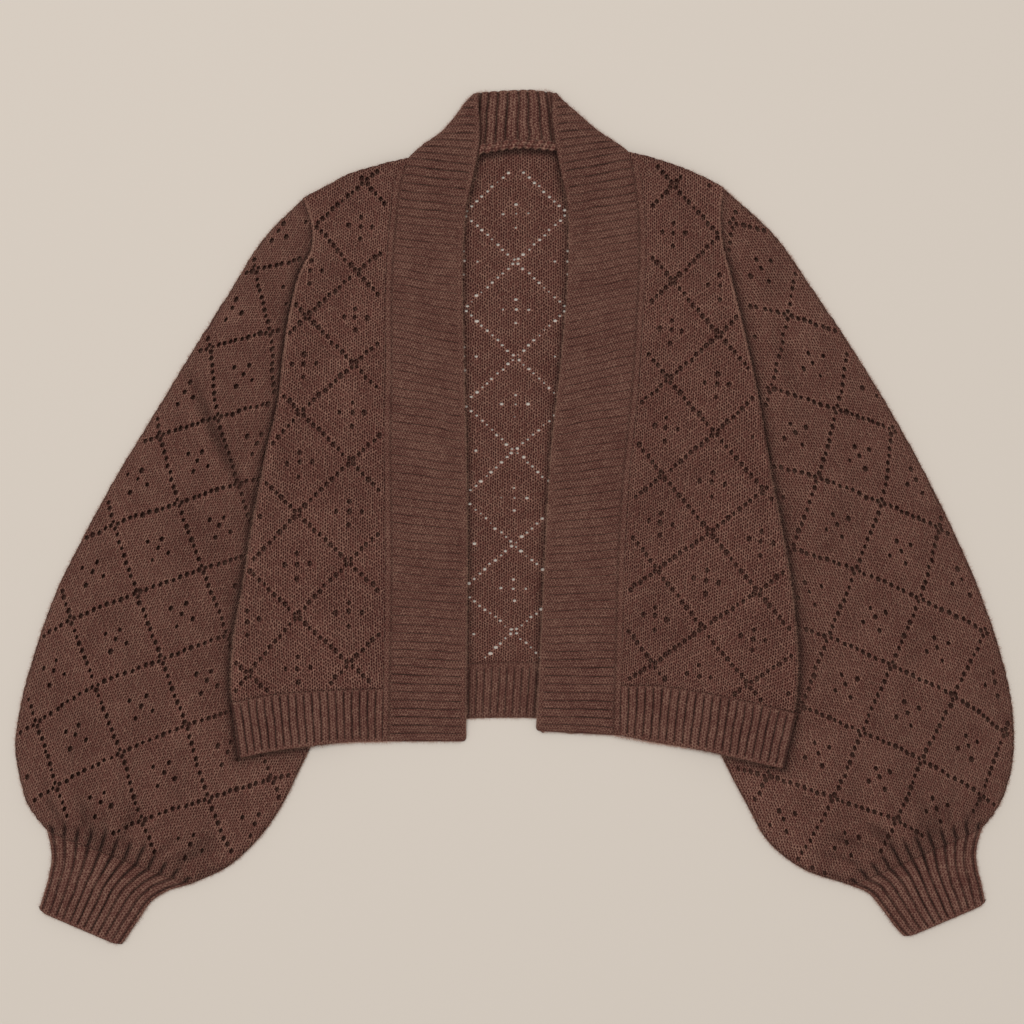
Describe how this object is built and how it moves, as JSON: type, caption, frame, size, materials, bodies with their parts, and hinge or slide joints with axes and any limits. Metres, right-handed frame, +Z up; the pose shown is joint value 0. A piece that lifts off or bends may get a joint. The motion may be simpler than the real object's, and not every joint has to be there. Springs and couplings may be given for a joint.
{
  "type": "shawl collar cardigan",
  "caption": "Cropped open-front knitted cardigan with a ribbed shawl collar, diamond eyelet panels and balloon sleeves gathered into ribbed cuffs, laid flat.",
  "frame": {"origin": "middle of the garment's outline, on the surface that it lies on", "axes": "+X from the wearer's right to the left, cuff side to cuff side; +Y from the hem up to the collar; +Z up out of the surface, towards the viewer"},
  "size_m": [0.8494, 0.7272, 0.012],
  "materials": {
    "pointelle_knit": "matte",
    "rib_knit": "matte"
  },
  "bodies": {
    "root": {"back_panel": "pointelle_knit", "front_panel_right": "pointelle_knit", "front_panel_left": "pointelle_knit", "sleeve_right": "pointelle_knit", "sleeve_left": "pointelle_knit", "cuff_right": "rib_knit", "cuff_left": "rib_knit", "hem_back": "rib_knit", "hem_front_right": "rib_knit", "hem_front_left": "rib_knit", "front_band_right": "rib_knit", "front_band_left": "rib_knit", "collar_back": "rib_knit", "neck_seam_roll": "rib_knit"}
  },
  "joints": []
}
